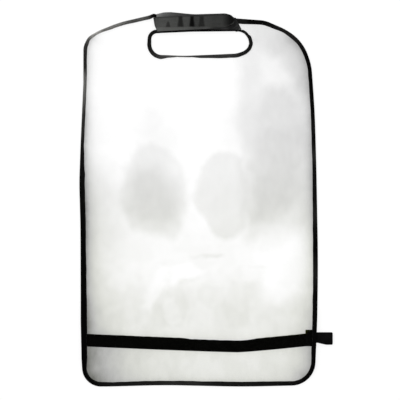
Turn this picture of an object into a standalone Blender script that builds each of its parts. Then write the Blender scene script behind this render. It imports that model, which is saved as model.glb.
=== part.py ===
"""Seat back kick mat: a clear PVC sheet bound with black folded tape.

The mat lies on its back with the front face up.  X runs across the mat, +Y runs
towards the headrest slot, +Z points away from the floor.  All lengths in metres.
"""
import math

import bmesh
import bpy
from mathutils import Vector
from mathutils.geometry import delaunay_2d_cdt

# Clearance kept between two layers that touch on the real mat.
GAP = 0.0003

# Thickness of each material.
FILM = 0.0005
TAPE = 0.0006
ELASTIC = 0.0010
BASE_WEB = 0.0008
LOOP_TAPE = 0.0007
HOOK_TAPE = 0.0007
FLAP_WEB = 0.0009

# Sheet outline, measured at the cut edge of the film.
MAT_WIDTH = 0.4120
MAT_HEIGHT = 0.6500
LEFT_BULGE = 0.0026
RIGHT_BULGE = 0.0016
LEFT_BULGE_HEIGHT = 0.3556
LEFT_WAIST_BULGE = 0.0005
LEFT_WAIST_HEIGHT = 0.2770
RIGHT_BULGE_HEIGHT = 0.1760
RIGHT_WAIST_INSET = 0.0018
RIGHT_WAIST_HEIGHT = 0.3820
LEFT_SHOULDER_INSET = 0.0049
LEFT_SHOULDER_DROP = 0.0405
LEFT_SLOPE_REACH = 0.0620
LEFT_SLOPE_DROP = 0.0138
RIGHT_SHOULDER_INSET = 0.0114
RIGHT_SHOULDER_DROP = 0.0102
LEFT_SHOULDER_RADIUS = 0.036
RIGHT_SHOULDER_RADIUS = 0.100
LEFT_FOOT_RADIUS = 0.035
LEFT_FOOT_INSET = 0.0038
LEFT_ANCHOR_INSET = 0.0014
RIGHT_FOOT_RADIUS = 0.046
RIGHT_FOOT_INSET = 0.0042
SIDE_EASE_RADIUS = 3.0
FOOT_EASE_RADIUS = 1.5
HEM_RISE = 0.0030
HEM_RISE_AT = 0.1450
HEM_END_RISE = 0.0018
HEM_DIP_AT = 0.2810

# Slot for the headrest posts; its top is open between the two arms.
SLOT_WIDTH = 0.1725
SLOT_HEIGHT = 0.0416
SLOT_SHIFT = 0.0018
SLOT_DROP = 0.0312
SLOT_TOP_SLOPE = 0.0020
SLOT_FOOT_RISE_LEFT = 0.0018
SLOT_FOOT_RISE_RIGHT = 0.0052
SLOT_LOW_AT = 0.0590
SLOT_TOP_LEFT_RADIUS = 0.019
SLOT_TOP_RIGHT_RADIUS = 0.0185
SLOT_FOOT_LEFT_RADIUS = 0.019
SLOT_FOOT_RIGHT_RADIUS = 0.0195
LEFT_ARM_END = -0.0620
RIGHT_ARM_END = 0.0520
BOUND_TO_LEFT = -0.0730
BOUND_TO_RIGHT = 0.0580
SLOT_BOUND_TO_LEFT = -0.0690
SLOT_BOUND_TO_RIGHT = 0.0640
ARM_NOTCH = 0.0060

# Width of the folded tape that lies on the film, from narrow to wide stretches.
LEG_SHOULDER = 0.0044
LEG_SLOPE = 0.0028
LEG_ARM = 0.0046
LEG_UPPER = 0.0044
LEG_RIGHT = 0.0080
LEG_RIGHT_UPPER = 0.0066
LEG_HEM = 0.0068
LEG_LEFT = 0.0084
LEG_ANCHOR = 0.0102
LEG_SLOT_END = 0.0062
LEG_SLOT_FOOT = 0.0062
LEG_SLOT_THIN = 0.0018
BEND_CLEARANCE = 0.00045
BEND_OUTER = 0.00105
SEAM_MARGIN = 0.0015

# Lower elastic strap and its fastening at the right-hand edge.
STRAP_WIDTH = 0.0224
STRAP_RISE = 0.0808
STRAP_SAG = 0.0106
STRAP_SAG_AT = 0.2740
SAG_POWER = 1.2
STRAP_END_SET = 0.0012
PATCH_LENGTH = 0.0190
PATCH_WIDTH = 0.0270
PATCH_RISE = 0.0045
TAB_LENGTH = 0.0475
TAB_WIDTH = 0.0220
TAB_WAIST = 0.0034
TAB_FLARE = 0.0170
TAB_REACH = 0.0280
TAB_RISE = 0.0028
TAB_CORNER = 0.0022

# Closure across the slot: a flap with hook tape over a strap with loop tape.
FLAP_LENGTH = 0.1400
FLAP_WIDTH = 0.0248
FLAP_TILT = 0.0400
FLAP_HOLLOW = 0.0022
FLAP_END_RADIUS = 0.0120
FLAP_LEFT = -0.0775
FLAP_DROP = 0.0174
FLAP_STEP = 0.0050
FLAP_DROOP = 0.0006
BASE_LENGTH = 0.1435
BASE_WIDTH = 0.0246
BASE_SLANT = 0.0100
BASE_PEEK = 0.0010
BASE_TILT = 0.0230
LOOP_LENGTH = 0.1475
LOOP_WIDTH = 0.0262
LOOP_PEEK = 0.0076
LOOP_OVERHANG = 0.0033
LOOP_RIM = 0.0021
LOOP_BULGE_AT = 0.0250
LOOP_TAIL = 0.0260
HOOK_LENGTH = 0.0900
HOOK_WIDTH = 0.0196
CREASE_FIRST = -0.0330
CREASE_PITCH = 0.0188
CREASE_COUNT = 3
CREASE_RISE = 0.0011
CREASE_WIDTH = 0.0042

# Loose swells of the film as it lies: centre, reach each way, height.
SWELL_LEFT = (-0.078, 0.020, 0.060, 0.085, 0.0042)
SWELL_MIDDLE = (0.038, 0.018, 0.042, 0.062, 0.0030)
SWELL_RIGHT = (0.132, 0.085, 0.046, 0.118, 0.0040)
SWELL_HEM = (0.050, -0.290, 0.090, 0.022, 0.0012)
SWELLS = (SWELL_LEFT, SWELL_MIDDLE, SWELL_RIGHT, SWELL_HEM)

# Flat rest in the middle of the sheet, where the back meets the backrest.
FLAT_X = 0.000
FLAT_Y = -0.125
FLAT_LENGTH = 0.150
FLAT_HEIGHT = 0.090
FLAT_FADE = 0.045

# Largest share of a side that one rounded corner may take.
CORNER_SHARE = 0.72

# How closely the curves and sheets are divided.
STATION = 0.0150
ARC_STEP = math.radians(9.0)
FILM_CELL = 0.0230
WEB_CELL = 0.0052
STRAP_CELL = 0.0240

# Heights that follow from the layers.
HALF_WIDTH = MAT_WIDTH / 2
HALF_HEIGHT = MAT_HEIGHT / 2
REST = TAPE + GAP
BOUND_TOP = FILM + GAP + TAPE
HEM_Y = -HALF_HEIGHT
STRAP_Y = HEM_Y + STRAP_RISE
PLATEAU = max(STRAP_WIDTH, PATCH_WIDTH + 2 * PATCH_RISE) / 2 + STATION
STRAP_FADE = 0.048
ANCHOR_RUN = 0.045
LIFT_UNDER_FILM = max(0.0, ELASTIC + GAP - REST) + 0.0002
LIFT_AT_ANCHOR = ELASTIC + GAP
LOOP_LEFT = FLAP_LEFT + FLAP_STEP
LIFT_AT_TAB = ELASTIC + HOOK_TAPE + LOOP_TAPE + 3 * GAP

MATERIALS = {
    "clear_pvc": ((0.80, 0.82, 0.81, 1.0), 0.12, 0.28),
    "black_binding": ((0.012, 0.012, 0.012, 1.0), 0.60, 1.0),
    "black_elastic": ((0.010, 0.010, 0.010, 1.0), 0.75, 1.0),
    "black_web": ((0.014, 0.014, 0.014, 1.0), 0.75, 1.0),
    "charcoal_web": ((0.085, 0.087, 0.083, 1.0), 0.70, 1.0),
    "grey_loop": ((0.30, 0.31, 0.30, 1.0), 0.90, 1.0),
    "black_hook": ((0.020, 0.020, 0.020, 1.0), 0.55, 1.0),
}


def ease(start, end, value):
    """Smooth step from 0 at start to 1 at end."""
    t = min(1.0, max(0.0, (value - start) / (end - start)))
    return t * t * (3.0 - 2.0 * t)


def lerp(a, b, t):
    return a + (b - a) * t


def strap_line(x):
    """Y of the strap's centre line: two slack runs that meet at the sag."""
    low = -HALF_WIDTH + STRAP_SAG_AT
    reach = low + HALF_WIDTH if x < low else HALF_WIDTH + TAB_REACH - TAB_LENGTH - low
    away = min(1.0, abs(x - low) / reach)
    return STRAP_Y - STRAP_SAG * (1.0 - away ** SAG_POWER)


def strap_lift(x, y):
    """How far the film rides up where the strap passes under it."""
    across = 1.0 - ease(PLATEAU, PLATEAU + STRAP_FADE, abs(y - strap_line(x)))
    inner_tab = HALF_WIDTH + TAB_REACH - TAB_LENGTH
    anchor = 1.0 - ease(LEG_ANCHOR + STATION, LEG_ANCHOR + STATION + ANCHOR_RUN, x + HALF_WIDTH)
    tab = ease(inner_tab - STATION - ANCHOR_RUN, inner_tab - STATION, x)
    along = LIFT_UNDER_FILM
    along += (LIFT_AT_ANCHOR - LIFT_UNDER_FILM) * anchor
    along += (LIFT_AT_TAB - LIFT_UNDER_FILM) * tab
    return across * along


def swell(x, y):
    """Loose waves of the film, stilled over the flat rest."""
    outside = max(abs(x - FLAT_X) - FLAT_LENGTH / 2, abs(y - FLAT_Y) - FLAT_HEIGHT / 2)
    still = ease(0.0, FLAT_FADE, outside)
    total = 0.0
    for cx, cy, rx, ry, rise in SWELLS:
        total += rise * math.exp(-((x - cx) / rx) ** 2 - ((y - cy) / ry) ** 2)
    return total * still


def lay(x, y):
    """Height of the film's underside above the floor."""
    return REST + swell(x, y) + strap_lift(x, y)


def fillet(before, corner, after, radius):
    """Arc points that round one corner, or the corner itself when it is sharp."""
    here = Vector(corner)
    back = Vector(before) - here
    ahead = Vector(after) - here
    turn = math.pi - back.angle(ahead)
    if radius <= 0.0 or turn < 1e-4:
        return [here]
    reach = radius * math.tan(turn / 2)
    limit = CORNER_SHARE * min(back.length, ahead.length)
    if reach > limit:
        reach = limit
        radius = reach / math.tan(turn / 2)
    start = here + back.normalized() * reach
    inward = (back.normalized() + ahead.normalized()).normalized()
    centre = here + inward * (radius / math.cos(turn / 2))
    side = 1.0 if back.x * ahead.y - back.y * ahead.x < 0.0 else -1.0
    steps = max(2, math.ceil(turn / ARC_STEP))
    arm = start - centre
    points = []
    for i in range(steps + 1):
        angle = side * turn * i / steps
        cos_a = math.cos(angle)
        sin_a = math.sin(angle)
        turned = Vector((arm.x * cos_a - arm.y * sin_a, arm.x * sin_a + arm.y * cos_a))
        points.append(centre + turned)
    return points


def rounded(corners, cell, closed):
    """Divide a polyline of (x, y, radius, leg) corners into (point, leg) stations."""
    count = len(corners)
    marks = []
    for i, (x, y, radius, leg) in enumerate(corners):
        at_end = not closed and i in (0, count - 1)
        if at_end:
            marks.append((Vector((x, y)), leg))
            continue
        before = corners[i - 1][:2]
        after = corners[(i + 1) % count][:2]
        for point in fillet(before, (x, y), after, radius):
            marks.append((point, leg))
    stations = []
    total = len(marks)
    for i in range(total if closed else total - 1):
        a, leg_a = marks[i]
        b, leg_b = marks[(i + 1) % total]
        pieces = max(1, round((b - a).length / cell))
        for k in range(pieces):
            t = k / pieces
            stations.append((a.lerp(b, t), lerp(leg_a, leg_b, t)))
    if not closed:
        stations.append(marks[-1])
    return stations


def edge_path():
    """Outer cut edge, from the left arm round the hem to the right arm."""
    left = -HALF_WIDTH
    right = HALF_WIDTH
    left_x = left + LEFT_SHOULDER_INSET
    right_x = right - RIGHT_SHOULDER_INSET
    left_y = HALF_HEIGHT - LEFT_SHOULDER_DROP
    right_y = HALF_HEIGHT - RIGHT_SHOULDER_DROP
    waist = HEM_Y + STRAP_RISE
    corners = [
        (BOUND_TO_LEFT, HALF_HEIGHT, 0.0, LEG_ARM),
        (left_x + LEFT_SLOPE_REACH, HALF_HEIGHT - LEFT_SLOPE_DROP, 0.2, LEG_SLOPE),
        (left_x, left_y, LEFT_SHOULDER_RADIUS, LEG_SHOULDER),
        (left_x, left_y - 0.080, 0.0, LEG_UPPER),
        (left - LEFT_BULGE, HEM_Y + LEFT_BULGE_HEIGHT, SIDE_EASE_RADIUS, LEG_LEFT),
        (left - LEFT_WAIST_BULGE, HEM_Y + LEFT_WAIST_HEIGHT, FOOT_EASE_RADIUS, LEG_LEFT),
        (left, waist + PLATEAU, 0.0, LEG_ANCHOR),
        (left + LEFT_ANCHOR_INSET, waist - PLATEAU, 0.0, LEG_ANCHOR),
        (left + LEFT_FOOT_INSET, HEM_Y, LEFT_FOOT_RADIUS, LEG_LEFT),
        (left + HEM_RISE_AT, HEM_Y + HEM_RISE, FOOT_EASE_RADIUS, LEG_HEM),
        (left + HEM_DIP_AT, HEM_Y, FOOT_EASE_RADIUS, LEG_RIGHT),
        (right - RIGHT_FOOT_INSET, HEM_Y + HEM_END_RISE, RIGHT_FOOT_RADIUS, LEG_RIGHT),
        (right + RIGHT_BULGE, HEM_Y + RIGHT_BULGE_HEIGHT, SIDE_EASE_RADIUS, LEG_RIGHT),
        (right - RIGHT_WAIST_INSET, HEM_Y + RIGHT_WAIST_HEIGHT, SIDE_EASE_RADIUS, LEG_RIGHT_UPPER),
        (right_x, right_y, RIGHT_SHOULDER_RADIUS, LEG_RIGHT_UPPER),
        (BOUND_TO_RIGHT, right_y + 0.0012, 0.0, LEG_RIGHT),
    ]
    return rounded(corners, STATION, False)


def slot_path():
    """Cut edge of the slot, from the right arm round its foot to the left arm."""
    left = SLOT_SHIFT - SLOT_WIDTH / 2
    right = SLOT_SHIFT + SLOT_WIDTH / 2
    top = HALF_HEIGHT - SLOT_DROP
    foot = top - SLOT_HEIGHT
    low = left + SLOT_LOW_AT
    corners = [
        (SLOT_BOUND_TO_RIGHT, top + SLOT_TOP_SLOPE, 0.0, LEG_SLOT_THIN),
        (right, top + SLOT_TOP_SLOPE, SLOT_TOP_RIGHT_RADIUS, LEG_SLOT_END),
        (right, foot + SLOT_FOOT_RISE_RIGHT, SLOT_FOOT_RIGHT_RADIUS, LEG_SLOT_END),
        (low, foot, 0.3, LEG_SLOT_THIN),
        (left, foot + SLOT_FOOT_RISE_LEFT, SLOT_FOOT_LEFT_RADIUS, LEG_SLOT_FOOT),
        (left, top, SLOT_TOP_LEFT_RADIUS, LEG_SLOT_END),
        (SLOT_BOUND_TO_LEFT, top, 0.0, LEG_SLOT_END),
    ]
    return rounded(corners, STATION, False)


def inward_frames(path):
    """Each station's point, inward unit normal (to the film) and leg width."""
    frames = []
    last = len(path) - 1
    for i, (point, leg) in enumerate(path):
        ahead = path[min(i + 1, last)][0]
        back = path[max(i - 1, 0)][0]
        along = (ahead - back).normalized()
        frames.append((point, Vector((-along.y, along.x)), leg))
    return frames


def seam_line(frames):
    """Line just inside the tape's inner edge, one point for each station."""
    return [point + inward * (leg + SEAM_MARGIN) for point, inward, leg in frames]


def inside(point, loop):
    """True when a plan point lies within a closed loop."""
    hit = False
    for i, a in enumerate(loop):
        b = loop[i - 1]
        if (a.y > point.y) != (b.y > point.y):
            cut = a.x + (point.y - a.y) * (b.x - a.x) / (b.y - a.y)
            if point.x < cut:
                hit = not hit
    return hit


def spread(loop, fixed, cell):
    """Staggered grid of plan points within a loop, clear of the fixed points."""
    low_x = min(p.x for p in loop)
    high_x = max(p.x for p in loop)
    low_y = min(p.y for p in loop)
    high_y = max(p.y for p in loop)
    rows = max(1, round((high_y - low_y) / (cell * 0.87)))
    columns = max(1, round((high_x - low_x) / cell))
    step_x = (high_x - low_x) / columns
    step_y = (high_y - low_y) / rows
    points = []
    for row in range(rows + 1):
        offset = 0.5 * step_x * (row % 2)
        for column in range(columns + 1):
            point = Vector((low_x + offset + column * step_x, low_y + row * step_y))
            if not inside(point, loop):
                continue
            if min((point - other).length for other in fixed) > 0.62 * cell:
                points.append(point)
    return points


def new_object(name, bm, material, smooth_angle):
    """Turn a closed bmesh into a named object with its own material."""
    bmesh.ops.recalc_face_normals(bm, faces=bm.faces)
    mesh = bpy.data.meshes.new(name)
    bm.to_mesh(mesh)
    bm.free()
    mesh.shade_smooth()
    mesh.set_sharp_from_angle(angle=smooth_angle)
    colour, roughness, alpha = MATERIALS[material]
    surface = bpy.data.materials.new(name + "_" + material)
    surface.use_nodes = True
    shader = surface.node_tree.nodes["Principled BSDF"]
    shader.inputs["Base Color"].default_value = colour
    shader.inputs["Roughness"].default_value = roughness
    shader.inputs["Metallic"].default_value = 0.0
    shader.inputs["Alpha"].default_value = alpha
    surface.diffuse_color = colour
    mesh.materials.append(surface)
    obj = bpy.data.objects.new(name, mesh)
    bpy.context.collection.objects.link(obj)
    return obj


def sheet(name, loop, seams, height, thickness, cell, material):
    """Flat-cut sheet: its plan divided into triangles, laid to height, thickened."""
    points = list(loop)
    edges = []
    for seam in seams:
        start = len(points)
        points.extend(seam)
        edges.extend((start + i, start + i + 1) for i in range(len(seam) - 1))
    points.extend(spread(loop, points, cell))
    outline = [list(range(len(loop)))]
    verts, _, faces, _, _, _ = delaunay_2d_cdt(points, edges, outline, 1, 1e-7)
    bm = bmesh.new()
    lower = [bm.verts.new((v.x, v.y, height(v.x, v.y))) for v in verts]
    for face in faces:
        bm.faces.new([lower[i] for i in face])
    loose = [v for v in bm.verts if not v.link_faces]
    bmesh.ops.delete(bm, geom=loose, context="VERTS")
    raised = bmesh.ops.extrude_face_region(bm, geom=list(bm.faces), use_keep_orig=True)
    upper = [item for item in raised["geom"] if isinstance(item, bmesh.types.BMVert)]
    bmesh.ops.translate(bm, verts=upper, vec=(0.0, 0.0, thickness))
    return new_object(name, bm, material, math.radians(35.0))


def tape_section(leg):
    """Closed U section of folded tape: (distance from the film's edge, height)."""
    middle = FILM / 2
    outer = FILM / 2 + GAP + TAPE
    inner = FILM / 2 + GAP
    section = [(leg, middle - inner), (leg, middle - outer)]
    for degrees in (-90, -45, 0, 45, 90):
        angle = math.radians(degrees)
        section.append((-BEND_OUTER * math.cos(angle), middle + outer * math.sin(angle)))
    section.extend([(leg, middle + outer), (leg, middle + inner)])
    for degrees in (90, 0, -90):
        angle = math.radians(degrees)
        section.append((-BEND_CLEARANCE * math.cos(angle), middle + inner * math.sin(angle)))
    return section


def folded_tape(name, frames, material):
    """Sweep the U section along the film's edge, over both of its faces."""
    bm = bmesh.new()
    rings = []
    for point, inward, leg in frames:
        seam = point + inward * (leg + SEAM_MARGIN)
        at_edge = lay(point.x, point.y)
        at_seam = lay(seam.x, seam.y)
        ring = []
        for depth, rise in tape_section(leg):
            plan = point + inward * depth
            share = max(0.0, depth) / (leg + SEAM_MARGIN)
            ring.append(bm.verts.new((plan.x, plan.y, lerp(at_edge, at_seam, share) + rise)))
        rings.append(ring)
    size = len(rings[0])
    for first, second in zip(rings, rings[1:]):
        for k in range(size):
            j = (k + 1) % size
            bm.faces.new((first[k], first[j], second[j], second[k]))
    bm.faces.new(rings[0])
    bm.faces.new(list(reversed(rings[-1])))
    return new_object(name, bm, material, math.radians(50.0))


def plan_loop(corners, cell):
    """Closed plan outline from (x, y, radius) corners."""
    stations = rounded([(x, y, radius, 0.0) for x, y, radius in corners], cell, True)
    return [point for point, _ in stations]


def build_film(edge, slot):
    """The clear sheet, with its two arms beside the open top of the slot."""
    loop = [point for point, _, _ in edge]
    top = HALF_HEIGHT - SLOT_DROP
    right_top = HALF_HEIGHT - RIGHT_SHOULDER_DROP
    loop.append(Vector((RIGHT_ARM_END, right_top - ARM_NOTCH)))
    loop.append(Vector((RIGHT_ARM_END, top + ARM_NOTCH / 2)))
    loop.extend(point for point, _, _ in slot)
    loop.append(Vector((LEFT_ARM_END, top + ARM_NOTCH / 2)))
    loop.append(Vector((LEFT_ARM_END, HALF_HEIGHT - ARM_NOTCH - FLAP_DROP / 2)))
    loop.append(Vector((BOUND_TO_LEFT + ARM_NOTCH / 2, HALF_HEIGHT - ARM_NOTCH)))
    seams = (seam_line(edge), seam_line(slot))
    return sheet("clear_panel", loop, seams, lay, FILM, FILM_CELL, "clear_pvc")


def build_lower_strap():
    """Elastic strap behind the film, sewn in at the left and closed at the right."""
    start = -HALF_WIDTH + STRAP_END_SET
    end = HALF_WIDTH + TAB_REACH - TAB_LENGTH + PATCH_LENGTH
    count = max(2, round((end - start) / STRAP_CELL))
    centre = [lerp(start, end, i / count) for i in range(count + 1)]
    lower = [Vector((x, strap_line(x) - STRAP_WIDTH / 2)) for x in centre]
    upper = [Vector((x, strap_line(x) + STRAP_WIDTH / 2)) for x in reversed(centre)]
    floor = lambda x, y: 0.0
    return sheet("lower_strap", lower + upper, (), floor, ELASTIC, STRAP_CELL, "black_elastic")


def build_strap_end():
    """Hook tape on the strap's end and the loop tab that it closes on."""
    tab_right = HALF_WIDTH + TAB_REACH
    tab_left = tab_right - TAB_LENGTH
    middle = STRAP_Y + TAB_RISE
    patch_middle = STRAP_Y + PATCH_RISE
    patch_left = tab_left - GAP
    patch_right = patch_left + PATCH_LENGTH
    patch = plan_loop([
        (patch_left, patch_middle - PATCH_WIDTH / 2, TAB_CORNER / 2),
        (patch_right, patch_middle - PATCH_WIDTH / 2, TAB_CORNER),
        (patch_right, patch_middle + PATCH_WIDTH / 2, TAB_CORNER),
        (patch_left, patch_middle + PATCH_WIDTH / 2, TAB_CORNER / 2),
    ], STATION)
    tab_foot = middle - TAB_WIDTH / 2
    tab = plan_loop([
        (tab_left, tab_foot + TAB_WAIST, 0.0),
        (patch_right + TAB_CORNER, tab_foot + TAB_WAIST, TAB_CORNER),
        (patch_right + TAB_FLARE, tab_foot, TAB_CORNER),
        (tab_right, tab_foot, TAB_CORNER),
        (tab_right, tab_foot + TAB_WIDTH, TAB_CORNER),
        (tab_left, tab_foot + TAB_WIDTH, 0.0),
    ], STATION)
    patch_z = lambda x, y: ELASTIC + GAP
    tab_z = lambda x, y: ELASTIC + HOOK_TAPE + 2 * GAP
    sheet("strap_hook_patch", patch, (), patch_z, HOOK_TAPE, STATION, "black_hook")
    sheet("side_tab", tab, (), tab_z, LOOP_TAPE, STATION, "black_web")


def flap_line(x):
    """Y of the closure flap's centre line."""
    return HALF_HEIGHT - FLAP_DROP + FLAP_TILT * (x - FLAP_LEFT)


def flap_height(x, y):
    """Underside of the flap: sewn down at its left, creased, drooping at its end."""
    sewn = lay(x, y) + BOUND_TOP + GAP
    stack = BASE_WEB + LOOP_TAPE + HOOK_TAPE + 3 * GAP
    rise = ease(FLAP_LEFT, LOOP_LEFT - WEB_CELL / 4, x)
    end = FLAP_LEFT + FLAP_LENGTH
    droop = FLAP_DROOP * ease(end - FLAP_END_RADIUS, end, x)
    ridges = 0.0
    for i in range(CREASE_COUNT):
        away = (x - CREASE_FIRST - i * CREASE_PITCH) / CREASE_WIDTH
        ridges += CREASE_RISE * math.exp(-away * away)
    return sewn + stack * rise - droop + ridges


def build_closure():
    """Flap, hook tape, loop tape and base strap that bridge the slot's open top."""
    half = FLAP_WIDTH / 2
    right = FLAP_LEFT + FLAP_LENGTH
    end = flap_line(right)
    flap = plan_loop([
        (FLAP_LEFT + FLAP_HOLLOW * 2, flap_line(FLAP_LEFT) - half, 0.001),
        (right - 2 * FLAP_END_RADIUS, end - half, 2 * FLAP_END_RADIUS),
        (right, end - half / 3, FLAP_END_RADIUS / 2),
        (right - FLAP_HOLLOW, end + half, FLAP_END_RADIUS),
        (FLAP_LEFT + FLAP_HOLLOW, flap_line(FLAP_LEFT) + half, 0.001),
        (FLAP_LEFT, flap_line(FLAP_LEFT), 2 * FLAP_END_RADIUS),
    ], WEB_CELL)
    sheet("closure_flap", flap, (), flap_height, FLAP_WEB, WEB_CELL, "charcoal_web")

    base_left = LOOP_LEFT + LOOP_OVERHANG
    base_right = base_left + BASE_LENGTH
    left_foot = HALF_HEIGHT - SLOT_DROP - BASE_PEEK
    right_foot = left_foot + BASE_TILT * BASE_LENGTH
    base = plan_loop([
        (base_left, left_foot, 0.001),
        (lerp(base_left, base_right, 0.4), lerp(left_foot, right_foot, 0.75), 0.1),
        (base_right, right_foot, 0.001),
        (base_right - BASE_SLANT, right_foot + BASE_WIDTH - BASE_PEEK, 0.001),
        (base_left, left_foot + BASE_WIDTH, 0.001),
    ], STRAP_CELL / 2)
    base_z = lambda x, y: lay(x, y) + BOUND_TOP + GAP
    sheet("closure_base_strap", base, (), base_z, BASE_WEB, STRAP_CELL / 2, "black_web")

    loop_left = LOOP_LEFT
    loop_right = loop_left + LOOP_LENGTH
    bulge_x = loop_left + LOOP_BULGE_AT
    tail_x = loop_right - LOOP_TAIL
    loop_foot = flap_line(loop_left) + half + LOOP_PEEK - LOOP_WIDTH
    loop = plan_loop([
        (loop_left, loop_foot, 0.001),
        (loop_right, right_foot + 2 * BASE_PEEK, 0.001),
        (loop_right - BASE_SLANT, right_foot + BASE_WIDTH - 3 * BASE_PEEK, 0.001),
        (tail_x, flap_line(tail_x) + half + LOOP_RIM, 0.02),
        (lerp(bulge_x, tail_x, 0.4), flap_line(lerp(bulge_x, tail_x, 0.4)) + half + LOOP_RIM, 0.1),
        (bulge_x, flap_line(bulge_x) + half + LOOP_PEEK, 0.04),
        (loop_left, flap_line(loop_left) + half + LOOP_PEEK - LOOP_RIM, 0.003),
    ], STRAP_CELL / 2)
    loop_z = lambda x, y: base_z(x, y) + BASE_WEB + GAP
    sheet("closure_loop_patch", loop, (), loop_z, LOOP_TAPE, STRAP_CELL / 2, "grey_loop")

    hook_right = right - FLAP_END_RADIUS
    hook_left = hook_right - HOOK_LENGTH
    hook = plan_loop([
        (hook_left, flap_line(hook_left) - HOOK_WIDTH / 2, 0.001),
        (hook_right, flap_line(hook_right) - HOOK_WIDTH / 2, HOOK_WIDTH / 2.2),
        (hook_right, flap_line(hook_right) + HOOK_WIDTH / 2, HOOK_WIDTH / 2.2),
        (hook_left, flap_line(hook_left) + HOOK_WIDTH / 2, 0.001),
    ], STRAP_CELL / 2)
    hook_z = lambda x, y: loop_z(x, y) + LOOP_TAPE + GAP
    sheet("closure_hook_patch", hook, (), hook_z, HOOK_TAPE, STRAP_CELL / 2, "black_hook")


def centre_on_floor():
    """Move the mat so that the middle of its footprint is the origin."""
    corners = [v.co for obj in bpy.data.objects for v in obj.data.vertices]
    shift_x = -(min(c.x for c in corners) + max(c.x for c in corners)) / 2
    shift_y = -(min(c.y for c in corners) + max(c.y for c in corners)) / 2
    shift_z = -min(c.z for c in corners)
    for obj in bpy.data.objects:
        for vertex in obj.data.vertices:
            vertex.co += Vector((shift_x, shift_y, shift_z))


def main():
    for obj in list(bpy.data.objects):
        bpy.data.objects.remove(obj, do_unlink=True)
    edge = inward_frames(edge_path())
    slot = inward_frames(slot_path())
    build_film(edge, slot)
    folded_tape("edge_binding", edge, "black_binding")
    folded_tape("slot_binding", slot, "black_binding")
    build_lower_strap()
    build_strap_end()
    build_closure()
    centre_on_floor()


main()
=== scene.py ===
import math

import bmesh
import bpy
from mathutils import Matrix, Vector, noise
from mathutils.geometry import delaunay_2d_cdt
from mathutils.kdtree import KDTree


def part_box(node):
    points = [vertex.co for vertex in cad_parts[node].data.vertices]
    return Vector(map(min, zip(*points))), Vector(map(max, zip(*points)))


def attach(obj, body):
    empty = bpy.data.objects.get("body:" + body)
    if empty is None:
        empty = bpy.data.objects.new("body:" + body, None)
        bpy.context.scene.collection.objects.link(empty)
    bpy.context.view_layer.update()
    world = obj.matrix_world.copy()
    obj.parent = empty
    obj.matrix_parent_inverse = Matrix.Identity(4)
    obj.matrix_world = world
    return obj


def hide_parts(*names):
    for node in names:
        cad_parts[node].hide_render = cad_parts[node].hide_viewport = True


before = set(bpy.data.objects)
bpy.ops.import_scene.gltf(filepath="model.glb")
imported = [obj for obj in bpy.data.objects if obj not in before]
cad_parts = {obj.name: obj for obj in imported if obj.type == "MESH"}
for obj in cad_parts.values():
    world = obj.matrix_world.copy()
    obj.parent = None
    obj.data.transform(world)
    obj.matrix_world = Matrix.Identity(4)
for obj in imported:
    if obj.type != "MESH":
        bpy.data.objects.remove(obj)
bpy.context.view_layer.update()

# ---- sizes shared with the solids, in metres, about the middle of the film ----
GAP = 0.0003
FILM = 0.0005
TAPE = 0.0006
ELASTIC = 0.001
BASE_WEB = 0.0008
LOOP_TAPE = 0.0007
HOOK_TAPE = 0.0007
FLAP_WEB = 0.0009

HALF_WIDTH = 0.206
HALF_HEIGHT = 0.325
LEFT_BULGE = 0.0026
RIGHT_BULGE = 0.0016
LEFT_BULGE_HEIGHT = 0.3556
LEFT_WAIST_BULGE = 0.0005
LEFT_WAIST_HEIGHT = 0.277
RIGHT_BULGE_HEIGHT = 0.176
RIGHT_WAIST_INSET = 0.0018
RIGHT_WAIST_HEIGHT = 0.382
LEFT_SHOULDER_INSET = 0.0049
LEFT_SHOULDER_DROP = 0.0405
LEFT_SLOPE_REACH = 0.062
LEFT_SLOPE_DROP = 0.0138
RIGHT_SHOULDER_INSET = 0.0114
RIGHT_SHOULDER_DROP = 0.0102
HEM_RISE = 0.003
HEM_RISE_AT = 0.145
HEM_DIP_AT = 0.281
HEM_END_RISE = 0.0018
RIGHT_FOOT_INSET = 0.0042
LEFT_FOOT_INSET = 0.0038
LEFT_ANCHOR_INSET = 0.0014

SLOT_WIDTH = 0.1725
SLOT_HEIGHT = 0.0416
SLOT_SHIFT = 0.0018
SLOT_DROP = 0.0312
SLOT_TOP_SLOPE = 0.002
SLOT_FOOT_RISE_LEFT = 0.0018
SLOT_LOW_AT = 0.059
LEFT_ARM_END = -0.062
RIGHT_ARM_END = 0.052
BOUND_TO_LEFT = -0.073
BOUND_TO_RIGHT = 0.058
SLOT_BOUND_TO_LEFT = -0.069
SLOT_BOUND_TO_RIGHT = 0.064
ARM_NOTCH = 0.006

LEG_SHOULDER = 0.0044
LEG_SLOPE = 0.0028
LEG_ARM = 0.0046
LEG_UPPER = 0.0044
LEG_RIGHT = 0.008
LEG_RIGHT_UPPER = 0.0066
LEG_HEM = 0.0068
LEG_LEFT = 0.0084
LEG_ANCHOR = 0.0102
LEG_SLOT_END = 0.0062
LEG_SLOT_FOOT = 0.0062
LEG_SLOT_THIN = 0.0018
BEND_CLEARANCE = 0.00045
BEND_OUTER = 0.00105
SEAM_MARGIN = 0.0015

STRAP_WIDTH = 0.0224
STRAP_RISE = 0.0808
STRAP_SAG = 0.0106
STRAP_SAG_AT = 0.274
SAG_POWER = 1.2
STRAP_END_SET = 0.0012
PATCH_LENGTH = 0.019
PATCH_WIDTH = 0.027
PATCH_RISE = 0.0045
TAB_LENGTH = 0.0475
TAB_WIDTH = 0.022
TAB_WAIST = 0.0034
TAB_FLARE = 0.017
TAB_REACH = 0.028
TAB_RISE = 0.0028
TAB_CORNER = 0.0022

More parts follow.
